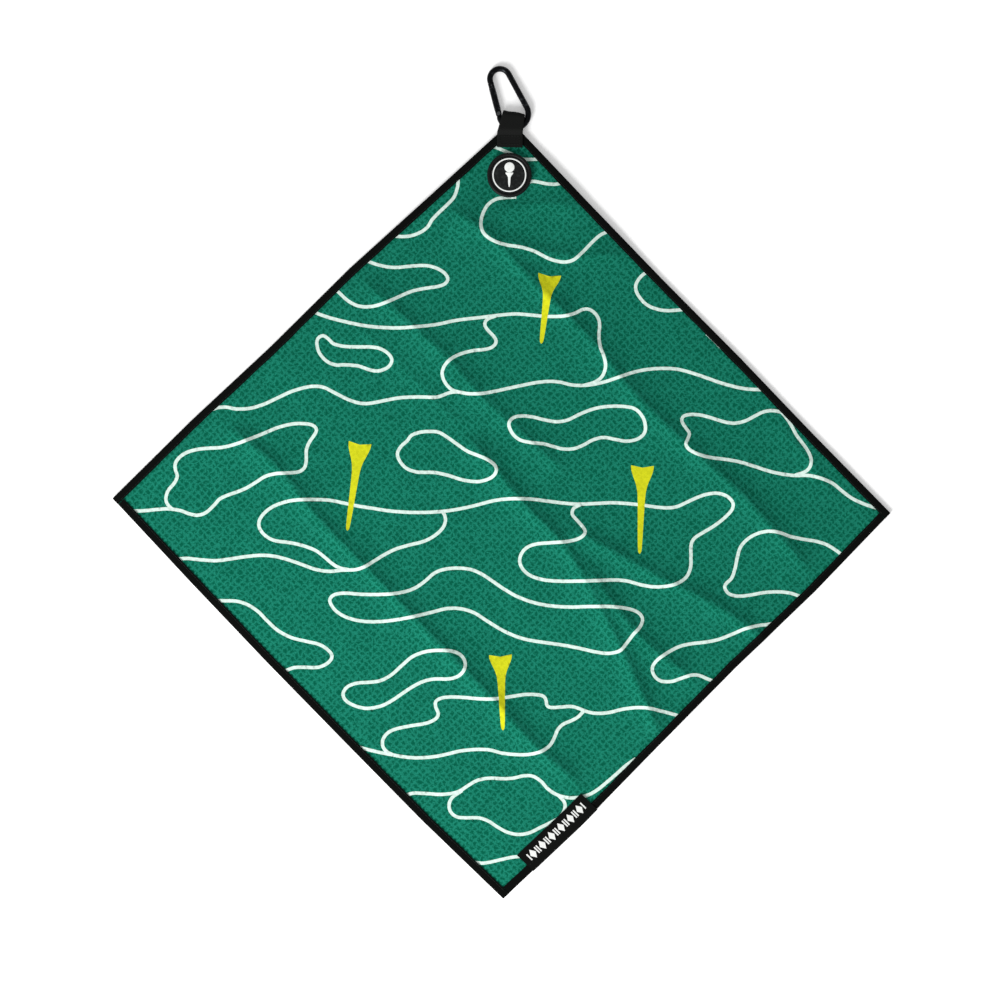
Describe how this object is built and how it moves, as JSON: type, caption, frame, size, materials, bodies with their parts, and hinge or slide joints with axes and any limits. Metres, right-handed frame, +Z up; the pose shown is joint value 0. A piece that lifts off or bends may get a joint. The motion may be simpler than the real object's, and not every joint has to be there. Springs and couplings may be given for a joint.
{
  "type": "golf towel",
  "caption": "Square waffle-weave golf towel with bound edges, printed contour lines, a sewn magnet patch, an edge label and a spring-gate carabiner in a webbing loop.",
  "frame": {"origin": "middle of the magnet patch's back face, on the plane that the towel lies on", "axes": "+Z up out of the towel's printed face, +Y along the towel's diagonal towards the corner with the webbing loop, +X to the right seen from above"},
  "size_m": [0.5748, 0.6147, 0.0083],
  "materials": {
    "waffle_cloth": "matte",
    "binding_tape": "matte",
    "sewing_thread": "satin",
    "webbing": "matte",
    "anodised_rod": "satin",
    "plated_steel": "satin",
    "patch_rubber": "matte",
    "emblem_rubber": "satin",
    "magnet_nickel": "polished",
    "woven_label": "matte"
  },
  "bodies": {
    "towel": {"towel_panel": "waffle_cloth", "binding_upper_left": "binding_tape", "binding_lower_left": "binding_tape", "binding_lower_right": "binding_tape", "binding_upper_right": "binding_tape", "binding_thread_upper_left": "sewing_thread", "binding_thread_lower_left": "sewing_thread", "binding_thread_lower_right": "sewing_thread", "binding_thread_upper_right": "sewing_thread", "webbing_thread": "sewing_thread", "patch_thread": "sewing_thread", "label_thread": "sewing_thread", "webbing_loop": "webbing", "patch_shell": "patch_rubber", "patch_backing": "patch_rubber", "magnet_cover": "patch_rubber", "emblem_disc": "emblem_rubber", "magnet": "magnet_nickel", "edge_label": "woven_label"},
    "carabiner": {"carabiner_frame": "anodised_rod"},
    "gate": {"carabiner_gate": "anodised_rod", "gate_pivot_rivet": "plated_steel", "gate_latch_pin": "plated_steel", "gate_spring": "plated_steel"},
    "pusher": {"spring_pusher": "plated_steel"}
  },
  "joints": [
    {"name": "carabiner_swing", "type": "hinge", "parent": "towel", "child": "carabiner", "pos_m": [0.00264, 0.03669, 0.00375], "axis": [1, 0, 0], "range_deg": [-125, 125], "deforming": ["webbing_loop"]},
    {"name": "gate_hinge", "type": "hinge", "parent": "carabiner", "child": "gate", "pos_m": [-0.00857, 0.04574, 0.00342], "axis": [0, -0.0365, -0.9993], "range_deg": [0, 26], "stiffness_Nm_per_rad": 0.06, "springref_deg": -20.05},
    {"name": "pusher_slide", "type": "slide", "parent": "gate", "child": "pusher", "axis": [-0.2651, 0.9636, -0.0351], "range_m": [0, 0.0004], "deforming": ["gate_spring"]}
  ],
  "couplings": [
    {"joint": "pusher_slide", "follows": "gate_hinge", "m_per_rad": 0.0007}
  ]
}
